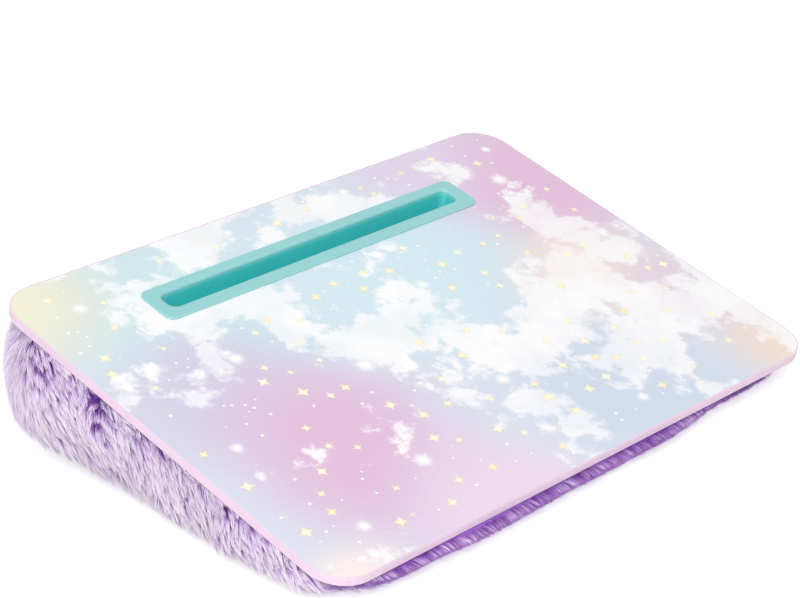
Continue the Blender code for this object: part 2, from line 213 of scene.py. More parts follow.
sky = linear("#D8DEEA")
for across, up, reach, colour in COLOUR_FIELDS:
    share = fading(drifted.outputs["Vector"], (across, up), reach, FIELD_CORE * reach, 1,
                   "SMOOTHERSTEP")
    sky = add_node(print_film, "ShaderNodeMix", {
        0: share, 6: sky, 7: linear(colour)}, data_type="RGBA").outputs[2]
cloud_place = add_node(print_film, "ShaderNodeVectorMath", {
    0: place, 1: CLOUD_PLACE}, operation="ADD").outputs["Vector"]
wander = add_node(print_film, "ShaderNodeTexNoise", {
    "Vector": cloud_place, "Scale": 1 / WANDER_WIDTH, "Detail": 4.0, "Roughness": 0.6})
wandered = add_node(print_film, "ShaderNodeVectorMath", {
    0: wander.outputs["Color"], 1: (PUFF_WANDER,) * 3, 2: cloud_place}, operation="MULTIPLY_ADD")
puffs = add_node(print_film, "ShaderNodeTexVoronoi", {
    "Vector": wandered.outputs["Vector"], "Scale": 1 / PUFF_WIDTH, "Detail": 4.0,
    "Roughness": 0.55, "Lacunarity": 2.1}, normalize=True)
banks = add_node(print_film, "ShaderNodeTexNoise", {
    "Vector": cloud_place, "Scale": 1 / BANK_WIDTH, "Detail": 2.0})
wisps = add_node(print_film, "ShaderNodeTexNoise", {
    "Vector": cloud_place, "Scale": 1 / WISP_WIDTH, "Detail": 8.0, "Roughness": 0.65})
rounded = add_node(print_film, "ShaderNodeMath", {
    0: puffs.outputs["Distance"], 1: PUFF_SHARE, 2: banks.outputs["Fac"]}, operation="MULTIPLY_ADD")
thickness = add_node(print_film, "ShaderNodeMath", {
    0: wisps.outputs["Fac"], 1: WISP_SHARE, 2: rounded.outputs["Value"]}, operation="MULTIPLY_ADD")
density = thickness.outputs["Value"]
for across, up, reach, thinning in CLEARINGS:
    thinned = fading(place, (across, up), reach, CLEARING_CORE * reach, -thinning, "SMOOTHSTEP")
    density = add_node(print_film, "ShaderNodeMath", {
        0: density, 1: thinned}, operation="ADD").outputs["Value"]
cover = add_node(print_film, "ShaderNodeMapRange", {
    "Value": density, "From Min": CLOUD_RIM[0], "From Max": CLOUD_RIM[1]},
    interpolation_type="SMOOTHSTEP")
body = add_node(print_film, "ShaderNodeTexNoise", {
    "Vector": cloud_place, "Scale": 1 / SHADING_WIDTH, "Detail": 6.0, "Roughness": 0.6})
cloud_tone = add_node(print_film, "ShaderNodeMapRange", {
    "Value": body.outputs["Fac"], "From Min": SHADING[0], "From Max": SHADING[1],
    "To Min": THINNEST_WHITE, "To Max": 1.0})
cloud_share = add_node(print_film, "ShaderNodeMath", {
    0: cover.outputs["Result"], 1: cloud_tone.outputs["Result"]}, operation="MULTIPLY")
whiteness = cloud_share.outputs["Value"]
for across, up, size in GLINTS:
    halo = fading(place, (across, up), GLINT_HALO * size, 0, HALO_WHITE, "SMOOTHERSTEP")
    whiteness = add_node(print_film, "ShaderNodeMath", {
        0: whiteness, 1: halo}, operation="MAXIMUM").outputs["Value"]
cloudy = add_node(print_film, "ShaderNodeMix", {
    0: whiteness, 6: sky, 7: linear("#FDFCFD")}, data_type="RGBA")
ink = add_node(print_film, "ShaderNodeTexNoise", {
    "Vector": place, "Scale": 1 / INK_GRAIN, "Detail": 2.0})
inked = add_node(print_film, "ShaderNodeHueSaturation", {
    "Color": cloudy.outputs[2], "Value": add_node(print_film, "ShaderNodeMapRange", {
        "Value": ink.outputs["Fac"], "To Min": INK_SPREAD[0],
        "To Max": INK_SPREAD[1]}).outputs["Result"]})
orange_peel = add_node(print_film, "ShaderNodeBump", {
    "Height": ink.outputs["Fac"], "Strength": 0.08, "Distance": 0.00002})
rubbed = add_node(print_film, "ShaderNodeMapRange", {
    "Value": body.outputs["Fac"], "To Min": SATIN_ROUGHNESS[0], "To Max": SATIN_ROUGHNESS[1]})
dress("print_sheet", finish_material(print_film, add_node(
    print_film, "ShaderNodeBsdfPrincipled", {
        "Base Color": inked.outputs["Color"], "Roughness": rubbed.outputs["Result"],
        "IOR": 1.49, "Normal": orange_peel.outputs["Normal"]})))


# Foil twinkles. Hot-stamped foil on the laminate, a few hundredths of a millimetre thick: thin
# four-pointed twinkles, rayed glints and dots in white and pale gold, scattered by chance.

FOIL_THICKNESS = 0.00003
CREASE_WIDTH = 1 / 45
MIDDLE_PALER = 0.6

# How far the motifs keep from the board's edge, the slot's flange, each other and the board's
# rounded corners, in metres.
EDGE_FREE = 0.008
FLANGE_FREE = 0.006
FOIL_SPACING = 0.003
CORNER_START = (0.19, 0.13)
CORNER_REACH = 0.02
TRIES = 4000

# The motifs: how hollow a twinkle's sides are, how long a glint's rays are in turn, how wide its
# bright middle is, and the sizes that each kind comes in, in metres.
TWINKLE_POINTS = 32
TWINKLE_HOLLOW = 0.62
RAY_LENGTHS = (1.0, 0.42, 0.7, 0.42)
GLINT_MIDDLE = 0.13
DOT_POINTS = 14
GOLD_GLINTS = (0.0100, 0.0092, 0.0088, 0.008, 0.0078, 0.0075, 0.007, 0.0068, 0.0062, 0.006, 0.006)
TWINKLES = 95
TWINKLE_SIZES = (0.0030, 0.0054)
TWINKLE_TURN = 0.5
DOTS = 170
DOT_SIZES = (0.0006, 0.0012)

flange_low, flange_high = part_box("tablet_slot_insert")
scatter = np.random.default_rng(41)


def twinkle(size):
    """The outline of a twinkle: four points joined by hollow curves."""
    outline = []
    for i in range(TWINKLE_POINTS):
        turn = 2 * pi * i / TWINKLE_POINTS
        reach = abs(cos(turn)) ** TWINKLE_HOLLOW + abs(sin(turn)) ** TWINKLE_HOLLOW
        outline.append((turn, size * reach ** (-1 / TWINKLE_HOLLOW)))
    return outline


def glint(size, rays):
    """The outline of a glint: straight rays of three lengths round a small bright middle."""
    outline = []
    for i in range(rays):
        length = size * RAY_LENGTHS[i % len(RAY_LENGTHS)]
        outline.append((2 * pi * i / rays, length))
        outline.append((2 * pi * (i + 0.5) / rays, GLINT_MIDDLE * size))
    return outline


def dot(size):
    """The outline of a round dot."""
    return [(2 * pi * i / DOT_POINTS, size) for i in range(DOT_POINTS)]


def add_motif(outlines, outline, room, turns=(0, 0)):
    """Adds a motif on the board, clear of its edge, the slot's flange and other foils."""
    for _ in range(TRIES):
        across = scatter.uniform(-1, 1) * (SHEET_HALF_WIDTH - EDGE_FREE - room)
        up = scatter.uniform(-1, 1) * (SHEET_HALF_DEPTH - EDGE_FREE - room)
        point = on_board(across, up)
        by_flange = (flange_low.x - FLANGE_FREE - room < across < flange_high.x + FLANGE_FREE + room
                     and flange_low.y - FLANGE_FREE - room < point.y
                     < flange_high.y + FLANGE_FREE + room)
        corner = (max(abs(across) - CORNER_START[0], 0) ** 2 + max(abs(up) - CORNER_START[1], 0) ** 2
                  > (CORNER_REACH - room) ** 2)
        near = any((across - a) ** 2 + (up - u) ** 2 < (room + r + FOIL_SPACING) ** 2
                   for a, u, r in taken)
        if not by_flange and not corner and not near:
            taken.append((across, up, room))
            turned = scatter.uniform(*turns) if any(turns) else 0
            outlines.append((across, up, turned, outline))
            return


def add_piece(name, data):
    """A new piece of the scene with this mesh, lamp or camera."""
    piece = bpy.data.objects.new(name, data)
    bpy.context.scene.collection.objects.link(piece)
    return piece


def stamp(name, material, outlines):
    """One piece of foil from outlines: each place on the board, its turn and its outline."""
    points, faces, inwards = [], [], []
    for across, up, turned, outline in outlines:
        first = len(points)
        inwards += [0.0] * len(outline) + [1.0]
        for turn, radius in outline:
            points.append(on_board(across + radius * cos(turn + turned),
                                   up + radius * sin(turn + turned), FOIL_THICKNESS))
        middle = len(points)
        points.append(on_board(across, up, FOIL_THICKNESS))
        for i in range(len(outline)):
            faces.append((first + i, first + (i + 1) % len(outline), middle))
    mesh = bpy.data.meshes.new(name)
    mesh.from_pydata(points, [], faces)
    mesh.attributes.new("to_middle", "FLOAT", "POINT").data.foreach_set("value", inwards)
    mesh.materials.append(material)
    piece = add_piece(name, mesh)
    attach(piece, "root")


def foil(name, stops):
    """Hot-stamping foil: a metal-coated film, deeper in colour at the rim of each motif."""
    material, place = new_material(name)
    shift = add_node(material, "ShaderNodeTexNoise", {
        "Vector": place, "Scale": 1 / CREASE_WIDTH, "Detail": 2.0})
    middle = add_node(material, "ShaderNodeAttribute", attribute_name="to_middle")
    toned = add_node(material, "ShaderNodeMath", {
        0: middle.outputs["Fac"], 1: MIDDLE_PALER, 2: shift.outputs["Fac"]}, operation="MULTIPLY_ADD")
    tint = add_node(material, "ShaderNodeValToRGB", {"Fac": toned.outputs["Value"]}, stops=stops)
    creases = add_node(material, "ShaderNodeBump", {
        "Height": shift.outputs["Fac"], "Strength": 0.2, "Distance": 0.0002})
    return finish_material(material, add_node(material, "ShaderNodeBsdfPrincipled", {
        "Base Color": tint.outputs["Color"], "Metallic": 0.35, "Roughness": 0.32,
        "Normal": creases.outputs["Normal"]}))


gold_foil = foil("pale_gold_stamping_foil", [(0, "#F3DF9C"), (0.6, "#FDF2C4"), (1, "#FFFCEC")])
white_foil = foil("pearl_white_stamping_foil", [(0, "#F4F8FF"), (0.5, "#FFFFFF"), (1, "#FFFDF8")])

taken = list(GLINTS)
gold_outlines = []
white_outlines = [(across, up, scatter.uniform(0, pi), glint(size, rays=12))
                  for across, up, size in GLINTS]
for size in GOLD_GLINTS:
    add_motif(gold_outlines, glint(size, rays=16), size, (0, pi))
for _ in range(TWINKLES):
    size = scatter.uniform(*TWINKLE_SIZES)
    add_motif(gold_outlines, twinkle(size), size, (-TWINKLE_TURN, TWINKLE_TURN))
for _ in range(DOTS):
    size = scatter.uniform(*DOT_SIZES)
    add_motif(white_outlines, dot(size), size)
stamp("foil_twinkles_gold", gold_foil, gold_outlines)
stamp("foil_glints_white", white_foil, white_outlines)


# Edge band. A 0.8 mm strip of soft pink PVC, glued round the panel's edge and trimmed flush. Its
# trimmed corners are eased, extrusion leaves faint lines along it, and a fine line of glue fills
# the joint between it and the printed sheet.

BAND_EASING = 0.0002
SHARP_CORNER = radians(40)
SAME_POINT = 0.00001
MOTTLE_WIDTH = 1 / 60
LINE_PITCH = 0.0006

pink_pvc, place = new_material("extruded_pink_pvc_edging")
lines = add_node(pink_pvc, "ShaderNodeTexNoise", {
    "Vector": place, "Scale": 1 / MOTTLE_WIDTH, "Detail": 4.0, "Roughness": 0.6})
pink = add_node(pink_pvc, "ShaderNodeValToRGB", {"Fac": lines.outputs["Fac"]}, stops=[
    (0, "#EACDE3"), (1, "#F3DBED")])
die_lines = add_node(pink_pvc, "ShaderNodeTexNoise", {
    "Vector": place, "Scale": 1 / LINE_PITCH, "Detail": 1.0})
faint = add_node(pink_pvc, "ShaderNodeBump", {
    "Height": die_lines.outputs["Fac"], "Strength": 0.12, "Distance": 0.00003})
soft_pvc = finish_material(pink_pvc, add_node(pink_pvc, "ShaderNodeBsdfPrincipled", {
    "Base Color": pink.outputs["Color"], "Roughness": 0.42, "IOR": 1.53,
    "Normal": faint.outputs["Normal"]}))
dress("edge_band", soft_pvc)
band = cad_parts["edge_band"]
weld = band.modifiers.new("joined_faces", "WELD")
weld.merge_threshold = SAME_POINT
easing = band.modifiers.new("eased_corners", "BEVEL")
easing.width = BAND_EASING
easing.segments = 3
easing.limit_method = "ANGLE"
easing.angle_limit = SHARP_CORNER
easing.harden_normals = True

BOARD_CORNER_RADIUS = 0.025
BAND_THICKNESS = 0.0008
GLUE_LAP = 0.0001
GLUE_DEPTH = 0.00006
CORNER_STEPS = 16

BOARD_HALF_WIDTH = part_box("edge_band")[1].x
BOARD_HALF_DEPTH = SHEET_HALF_DEPTH + BOARD_HALF_WIDTH - SHEET_HALF_WIDTH


def board_outline(inset):
    """Points round the board's rounded outline, this far inside it, across and up the board."""
    radius = BOARD_CORNER_RADIUS - inset
    outline = []
    for quarter, (side, end) in enumerate(((1, 1), (-1, 1), (-1, -1), (1, -1))):
        for i in range(CORNER_STEPS + 1):
            turn = (quarter + i / CORNER_STEPS) * pi / 2
            outline.append((side * (BOARD_HALF_WIDTH - BOARD_CORNER_RADIUS) + radius * cos(turn),
                            end * (BOARD_HALF_DEPTH - BOARD_CORNER_RADIUS) + radius * sin(turn)))
    return outline


band_side = board_outline(BAND_THICKNESS - GLUE_LAP)
sheet_side = board_outline(BOARD_HALF_WIDTH - SHEET_HALF_WIDTH + GLUE_LAP)
glue_mesh = bpy.data.meshes.new("edge_glue_line")
glue_mesh.from_pydata(
    [on_board(*point, -GLUE_DEPTH) for point in band_side + sheet_side], [],
    [(i, (i + 1) % len(band_side), (i + 1) % len(band_side) + len(band_side), i + len(band_side))
     for i in range(len(band_side))])
glue_mesh.materials.append(soft_pvc)
glue_line = add_piece("edge_glue_line", glue_mesh)
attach(glue_line, "root")


# Tablet slot insert. One injection-moulded ABS piece with a light spark-eroded texture, pressed
# into the cut-out until its tabs snap. It is light teal all through; the deeper teal in the narrow
# trough is painted shade, which fades in over the trough's left end.

SPARK_TEXTURE = 0.0004
FLOW_WIDTH = 1 / 35

# Where the painted shade deepens the teal: from the mouth's lip down to a share of the trough's
# depth, and from a share of that at the trough's left end up to all of it.
TROUGH_DEPTH = 0.014
LIP_ROUNDING = 0.0006
SHADE_FULL_FROM = 0.24
MOUTH_HALF_LENGTH = 0.128
END_SHADE_FADE = 0.008
END_SHADE_SHARE = 0.45

teal_abs, place = new_material("moulded_teal_abs")
depth = add_node(teal_abs, "ShaderNodeVectorMath", {
    0: place, 1: (0.0, -sin(BOARD_TILT), cos(BOARD_TILT))}, operation="DOT_PRODUCT")
face_level = SHEET_HEIGHT * cos(BOARD_TILT)
trough_shade_depth = add_node(teal_abs, "ShaderNodeMapRange", {
    "Value": depth.outputs["Value"], "From Min": face_level + LIP_ROUNDING,
    "From Max": face_level - SHADE_FULL_FROM * TROUGH_DEPTH}, interpolation_type="SMOOTHSTEP")
across_trough = add_node(teal_abs, "ShaderNodeSeparateXYZ", {0: place})
trough_shade_end = add_node(teal_abs, "ShaderNodeMapRange", {
    "Value": across_trough.outputs["X"], "From Min": -MOUTH_HALF_LENGTH,
    "From Max": END_SHADE_FADE - MOUTH_HALF_LENGTH, "To Min": END_SHADE_SHARE},
    interpolation_type="SMOOTHSTEP")
trough_painted_shade = add_node(teal_abs, "ShaderNodeMath", {
    0: trough_shade_depth.outputs["Result"], 1: trough_shade_end.outputs["Result"]}, operation="MULTIPLY")
# The flange's own light teal, then the deeper teal painted in the trough as its shade.
teal = add_node(teal_abs, "ShaderNodeValToRGB", {"Fac": trough_painted_shade.outputs["Value"]}, stops=[
    (0, "#93D0D2"), (0.5, "#66C9CA"), (1, "#3EC0C0")])
sparked = add_node(teal_abs, "ShaderNodeTexNoise", {
    "Vector": place, "Scale": 1 / SPARK_TEXTURE, "Detail": 2.0, "Roughness": 0.6})
flow = add_node(teal_abs, "ShaderNodeTexNoise", {
    "Vector": place, "Scale": 1 / FLOW_WIDTH, "Detail": 3.0})
tone = add_node(teal_abs, "ShaderNodeHueSaturation", {
    "Color": teal.outputs["Color"], "Value": add_node(teal_abs, "ShaderNodeMapRange", {
        "Value": flow.outputs["Fac"], "To Min": 0.96, "To Max": 1.04}).outputs["Result"]})
texture = add_node(teal_abs, "ShaderNodeBump", {
    "Height": sparked.outputs["Fac"], "Strength": 0.25, "Distance": 0.00003})
dress("tablet_slot_insert", finish_material(teal_abs, add_node(
    teal_abs, "ShaderNodeBsdfPrincipled", {
        "Base Color": tone.outputs["Color"], "Roughness": 0.38, "IOR": 1.53,
        "Normal": texture.outputs["Normal"]})))


# Bond sheet. A sheet of hot-melt adhesive that bonds the cushion to the panel. It is clear amber,
# and the press leaves it slightly uneven.

PRESS_MARK = 1 / 90

hot_melt, place = new_material("hot_melt_adhesive")
pressed = add_node(hot_melt, "ShaderNodeTexNoise", {
    "Vector": place, "Scale": 1 / PRESS_MARK, "Detail": 3.0})
amber = add_node(hot_melt, "ShaderNodeValToRGB", {"Fac": pressed.outputs["Fac"]}, stops=[
    (0, "#D8CFAE"), (1, "#EFE8CE")])
uneven = add_node(hot_melt, "ShaderNodeBump", {
    "Height": pressed.outputs["Fac"], "Strength": 0.5, "Distance": 0.0001})
dress("bond_sheet", finish_material(hot_melt, add_node(hot_melt, "ShaderNodeBsdfPrincipled", {
    "Base Color": amber.outputs["Color"], "Roughness": 0.3, "Normal": uneven.outputs["Normal"]})))


# Cushion. Polyester stuffing in a sewn cover, with the pile fabric's knitted ground as its skin.
# The stuffing swells the cover between its corners, the board holds its top, and the floor its base.

PILE_ROOT_DEPTH = 0.0025
BASE_PILE_DEPTH = 0.0025
VOXEL = 0.004
MOST_SWELL = 0.0025
STUFFING_STEPS = 20
CUSHION_SOLIDS = ("cover_left", "cover_right", "cover_front", "cover_back", "cover_base",
                  "cushion_fill", "cushion_lining")

# How squarely a place has to face the board or the floor to be held by it.
HELD_FACING = 0.85
HELD_FADE = 0.3
FLOOR_HELD = 0.9

# How far the sewn cover lies outside the solids, or is tucked in or lifted, in metres.
BACK_BASE_TUCK = 0.0110
BACK_BASE_LIFT = 0.0080
FRONT_BASE_OUT = 0.0085
FRONT_OUT = 0.0078
FRONT_LEFT_OUT = 0.0040
FRONT_RIGHT_TUCK = 0.0155

# Stretches of the cushion, each as where it starts and where it is full, in metres: up or down
# the cushion, then across it, then where the base lifts.
BACK_HALF = (-0.03, 0.05)
FRONT_HALF = (-0.03, -0.07)
FRONT_CORNER = (-0.15, -0.12)
FRONT_FACE = (-0.07, -0.11)
LEFT_CORNER = (-0.21, -0.17)
LEFT_END = (-0.20, -0.16)
LEFT_HALF = (-0.03, -0.10)
RIGHT_THIRD = (0.06, 0.17)
LIFTED_SIDE = (0.17, 0.215)
LIFTED_SIDE_BACK = (0.00, 0.11)
LIFTED_BACK = (0.115, 0.155)
LIFT_HEIGHT = 0.045

board_up = Vector((0.0, -sin(BOARD_TILT), cos(BOARD_TILT)))


def joined_solids(name, node_names):
    """A copy of CAD solids as one closed mesh, remeshed in small voxels."""
    points, faces = [], []
    for node_name in node_names:
        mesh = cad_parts[node_name].data
        first = len(points)
        points += [v.co.copy() for v in mesh.vertices]
        faces += [[first + v for v in face.vertices] for face in mesh.polygons]
    mesh = bpy.data.meshes.new(name)
    mesh.from_pydata(points, [], faces)
    piece = add_piece(name, mesh)
    joined = piece.modifiers.new("joined", "WELD")
    joined.merge_threshold = SAME_POINT
    voxels = piece.modifiers.new("voxels", "REMESH")
    voxels.mode = "VOXEL"
    voxels.voxel_size = VOXEL
    apply_modifiers(piece)
    return piece


def apply_modifiers(piece):
    """Makes the piece's modifiers part of its mesh."""
    graph = bpy.context.evaluated_depsgraph_get()
    mesh = bpy.data.meshes.new_from_object(piece.evaluated_get(graph))
    piece.modifiers.clear()
    piece.data = mesh


def points_of(piece):
    """The piece's points and their normals, as arrays."""
    count = len(piece.data.vertices)
    points, normals = np.empty(count * 3), np.empty(count * 3)
    piece.data.vertices.foreach_get("co", points)
    piece.data.vertices.foreach_get("normal", normals)
    return points.reshape(-1, 3), normals.reshape(-1, 3)


def move_points(piece, points):
    """Puts the piece's points at these places."""
    piece.data.vertices.foreach_set("co", np.asarray(points, np.float32).ravel())
    piece.data.update()


def eased(value, start, end):
    """From 0 at start to 1 at end, slow at both ends."""
    share = np.clip((value - start) / (end - start), 0, 1)
    return share * share * (3 - 2 * share)


def fullness(points, normals):
    """How much further out than the solids each point of the sewn cover lies."""
    x, y, z = points.T
    sideways, forwards = np.abs(normals[:, 0]), np.clip(-normals[:, 1], 0, 1)
    raised = np.clip(z / (SHEET_HEIGHT + y * np.tan(BOARD_TILT)), 0, 1)
    back = eased(y, *BACK_HALF)
    front = eased(y, *FRONT_HALF) * eased(y, *FRONT_CORNER)
    out = sideways * (FRONT_BASE_OUT * front * (1 - raised) - BACK_BASE_TUCK * back * (1 - raised) ** 3)
    near_left = eased(x, *LEFT_END) * eased(x, *LEFT_HALF)
    out += forwards * eased(y, *FRONT_FACE) * (
        FRONT_OUT * eased(x, *LEFT_CORNER) + FRONT_LEFT_OUT * near_left * (1 - raised)
        - FRONT_RIGHT_TUCK * eased(x, *RIGHT_THIRD))
    return out


def off_floor(points):
    """How far the rounded edge of the base rises off the floor at the back and the back corners."""
    x, y, z = points.T
    at_side = eased(np.abs(x), *LIFTED_SIDE) * eased(y, *LIFTED_SIDE_BACK)
    at_back = eased(y, *LIFTED_BACK)
    low = np.clip(1 - z / LIFT_HEIGHT, 0, 1) ** 2
    return BACK_BASE_LIFT * np.maximum(at_side, at_back) * low


skin = joined_solids("cushion_skin", CUSHION_SOLIDS)
points, normals = points_of(skin)
to_board = normals @ np.array(board_up)
free = np.clip((HELD_FACING - to_board) / HELD_FADE, 0, 1)
down = np.clip(-normals[:, 2], 0, 1)
inward = (PILE_ROOT_DEPTH - fullness(points, normals)) * free * (1 - down) + BASE_PILE_DEPTH * down
points -= normals * inward[:, None]
points[:, 2] += off_floor(points)
move_points(skin, points)

held = skin.vertex_groups.new(name="held_by_board_and_floor")
held.add([int(i) for i in np.flatnonzero((free < 1) | (down > FLOOR_HELD))], 1.0, "REPLACE")
cloth = skin.modifiers.new("stuffed", "CLOTH")
cloth.settings.quality = 5
cloth.settings.mass = 0.3
cloth.settings.tension_stiffness = 12
cloth.settings.use_pressure = True
cloth.settings.uniform_pressure_force = 4
cloth.settings.vertex_group_mass = held.name
cloth.settings.effector_weights.gravity = 0
cloth.collision_settings.use_collision = False
for step in range(1, STUFFING_STEPS + 1):
    bpy.context.scene.frame_set(step)
apply_modifiers(skin)
bpy.context.scene.frame_set(1)
move = points_of(skin)[0] - points
length = np.linalg.norm(move, axis=1, keepdims=True)
move *= np.minimum(1, MOST_SWELL / np.maximum(length, 1e-9))
move_points(skin, points + move)
smoother = skin.modifiers.new("finer", "SUBSURF")
smoother.levels = smoother.render_levels = 1
apply_modifiers(skin)
for face in skin.data.polygons:
    face.use_smooth = True

# Knitted polyester ground: tight rows of loops, drawn darker between them. It is dyed purple, and the
# purple deeper than the pile's is painted shade for the gaps where it shows.
# The loops are drawn twice as coarse as the real 0.7 mm, so that they show at all.
LOOP_PITCH = 0.0014
knit_ground, place = new_material("knitted_polyester_ground")
loops = add_node(knit_ground, "ShaderNodeTexVoronoi", {
    "Vector": place, "Scale": 1 / LOOP_PITCH, "Randomness": 0.35})
purple = add_node(knit_ground, "ShaderNodeValToRGB", {"Fac": loops.outputs["Distance"]}, stops=[
    (0, "#A86CD4"), (1, "#7A45AA")])
knitted = add_node(knit_ground, "ShaderNodeBump", {
    "Height": loops.outputs["Distance"], "Strength": 0.6, "Distance": 0.0003}, invert=True)
skin.data.materials.clear()
skin.data.materials.append(finish_material(knit_ground, add_node(
    knit_ground, "ShaderNodeBsdfPrincipled", {
        "Base Color": purple.outputs["Color"], "Roughness": 0.9, "Sheen Weight": 0.2,
        "Normal": knitted.outputs["Normal"]})))
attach(skin, "root")
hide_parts(*CUSHION_SOLIDS)


# Long pile. Lilac polyester fibres, about 14 mm long, knitted into the ground of the side panels.
# They lean down and to the front, cling together in locks, and show their roots between, painted darker
# for the shade deep in the pile.

PILE_DENSITY = 3.2e6
PILE_LENGTH = 0.0140
LENGTH_SPREAD = (0.75, 1.15)
PILE_RADIUS = 0.00014
RADIUS_SPREAD = (0.75, 1.2)
MOST_STRANDS = 38000
LEAST_FLOOR_GAP = 0.0003
UNDER_BOARD = -0.0061

# Locks: how far apart they stand, and how far the tips in each are drawn together. Stray fibres
# are thinner and cling less.
LOCKS = [(0.0065, 0.40), (0.0023, 0.88)]
LOCK_RISE = 0.0018
STRAY_SHARE = 0.25
STRAY_CLING = 0.35
STRAY_RADIUS = 0.00010

# One strand: a ribbon in three steps, how wide each step is, how far strands are rolled about
# their length, and how early they rise, lie down and cling along it.
PILE_STEPS = 3
RIBBON_WIDTHS = (1.0, 0.95, 0.7)
RIBBON_ROLL = 0.38
RISE_CURVE = 2.2
LIE_CURVE = 1.15
CLING_CURVE = 1.4

# The lean: the pile turns forwards in front of this place, wanders over these widths, and lies
# to the right in front. A ripple is a sum of waves of about its width, brought back to 1.
RIPPLE_WAVES = 7
RIPPLE_SPREAD = (0.6, 1.5)
RIPPLE_PEAK = 3.2
FORWARD_LEAN = 1.45
LEAN_START = 0.145
LEAN_FADE = 0.055
TURN = 0.35
TURN_WIDTH = 0.035
FINE_TURN = 0.15
FINE_WIDTH = 0.012
ASIDE = 0.15
ASIDE_AT_BACK = 0.3
ASIDE_WIDTH = 0.04
FINE_ASIDE_AT_BACK = 0.2
ASIDE_IN_FRONT = 1.2

# Partings in the pile of the left panel, where it was pressed: along the panel, height, how wide
# each is, and how many times longer than wide.
PARTINGS = [(0.0560, 0.0635, 0.0105, 1.1), (0.0525, 0.0500, 0.0044, 1.7), (0.0470, 0.0420, 0.0030, 2.0),
            (0.0245, 0.0470, 0.0024, 2.0), (0.0440, 0.0240, 0.0028, 2.2), (0.0940, 0.0220, 0.0028, 2.6),
            (0.0060, 0.0230, 0.0024, 2.4), (-0.0210, 0.0320, 0.0026, 2.0), (-0.0340, 0.0205, 0.0024, 2.0),
            (-0.0560, 0.0350, 0.0024, 2.2)]
PARTING_RUN = np.array((0.0, -0.8, -0.6))
PARTING_OPENS = 0.9
PARTING_KEEPS = 0.4
LEFT_PANEL_EDGE = -0.15

chance = np.random.default_rng(7)


def scattered(piece, density):
    """Seeded points on the piece with their normals, this many on each square metre."""
    mesh = piece.data
    mesh.calc_loop_triangles()
    corners = np.empty(len(mesh.loop_triangles) * 3, np.int32)
    mesh.loop_triangles.foreach_get("vertices", corners)
    corners = corners.reshape(-1, 3)
    places, facing = points_of(piece)
    a, b, c = (places[corners[:, i]] for i in range(3))
    areas = np.linalg.norm(np.cross(b - a, c - a), axis=1) / 2
    picked = chance.choice(len(areas), int(areas.sum() * density), p=areas / areas.sum())
    first, second = chance.random((2, len(picked), 1))
    over = first + second > 1
    first, second = np.where(over, 1 - first, first), np.where(over, 1 - second, second)
    a, b, c = corners[picked].T
    spots, out = (v[a] + first * (v[b] - v[a]) + second * (v[c] - v[a]) for v in (places, facing))
    return spots, unit(out)


def ripple(spots, width, seed):
    """A smooth random value from about -1 to 1 that changes over this width."""
    waves = np.random.default_rng(seed)
    value = np.zeros(len(spots))
    for _ in range(RIPPLE_WAVES):
        direction = waves.normal(size=3)
        direction *= waves.uniform(*RIPPLE_SPREAD) * pi / width / np.linalg.norm(direction)
        value += np.sin(spots @ direction + waves.uniform(0, 2 * pi))
    return value / RIPPLE_PEAK


def unit(vectors):
    """The vectors at length one."""
    return vectors / np.maximum(np.linalg.norm(vectors, axis=-1, keepdims=True), 1e-12)


def flat_on(vectors, normals):
    """The part of the vectors that lies along the surface."""
    return vectors - normals * np.sum(vectors * normals, axis=1, keepdims=True)


def combed(spots, normals):
    """Which way the pile leans, and how far each place is inside a parting."""
    forward = FORWARD_LEAN * np.clip((LEAN_START - spots[:, 1]) / LEAN_FADE, 0, 1)
    turned = forward + TURN * ripple(spots, TURN_WIDTH, 1) + FINE_TURN * ripple(spots, FINE_WIDTH, 2)
    at_back = np.clip(normals[:, 1], 0, 1)
    aside = (ASIDE + ASIDE_AT_BACK * at_back) * ripple(spots, ASIDE_WIDTH, 3)
    aside += FINE_ASIDE_AT_BACK * at_back * ripple(spots, FINE_WIDTH, 5)
    aside += ASIDE_IN_FRONT * np.clip(-normals[:, 1], 0, 1)
    lean = np.stack([aside, -turned, -np.ones(len(spots))], axis=1)
    lean = unit(flat_on(lean, normals))
    parted = np.zeros(len(spots))
    for along, height, reach, stretch in PARTINGS:
        away = spots - np.array((0.0, along, height))
        away[:, 0] = 0
        away -= (away @ PARTING_RUN)[:, None] * PARTING_RUN * (1 - 1 / stretch)
        distance = np.linalg.norm(away, axis=1, keepdims=True)
        inside = np.exp(-(distance / reach) ** 2) * (spots[:, :1] < LEFT_PANEL_EDGE)
        spread = unit(flat_on(away + 0.001 * PARTING_RUN, normals))
        lean = unit(lean * (1 - (1 - PARTING_KEEPS) * inside) + PARTING_OPENS * spread * inside)
        parted = np.maximum(parted, inside[:, 0])
    return lean, parted


def strand_lines(spots, normals, lean, lengths, lift):
    """The centre lines of strands: they rise from the ground, bend over and lie down."""
    lines = []
    for step in range(PILE_STEPS + 1):
        share = step / PILE_STEPS
        rise = lift * (1 - (1 - share) ** RISE_CURVE)
        reach = share ** LIE_CURVE * np.sqrt(np.maximum(lengths ** 2 - lift ** 2, 0))
        lines.append(spots + normals * rise[:, None] + lean * reach[:, None])
    return np.stack(lines, axis=1)


def clung(lines, cling, spacing, density):
    """Draws the tips of neighbouring strands together into locks, and says which lock each is in."""
    count = len(lines)
    leaders = chance.choice(count, max(1, int(count / (density * spacing ** 2))), replace=False)
    tree = KDTree(len(leaders))
    for number, leader in enumerate(leaders):
        tree.insert(lines[leader, 0], number)
    tree.balance()
    led_by = leaders[np.array([tree.find(root)[1] for root in lines[:, 0]])]
    steps = (np.arange(PILE_STEPS + 1) / PILE_STEPS) ** CLING_CURVE
    pull = cling[:, None, None] * steps[None, :, None]
    return lines + (lines[led_by] - lines) * pull, led_by


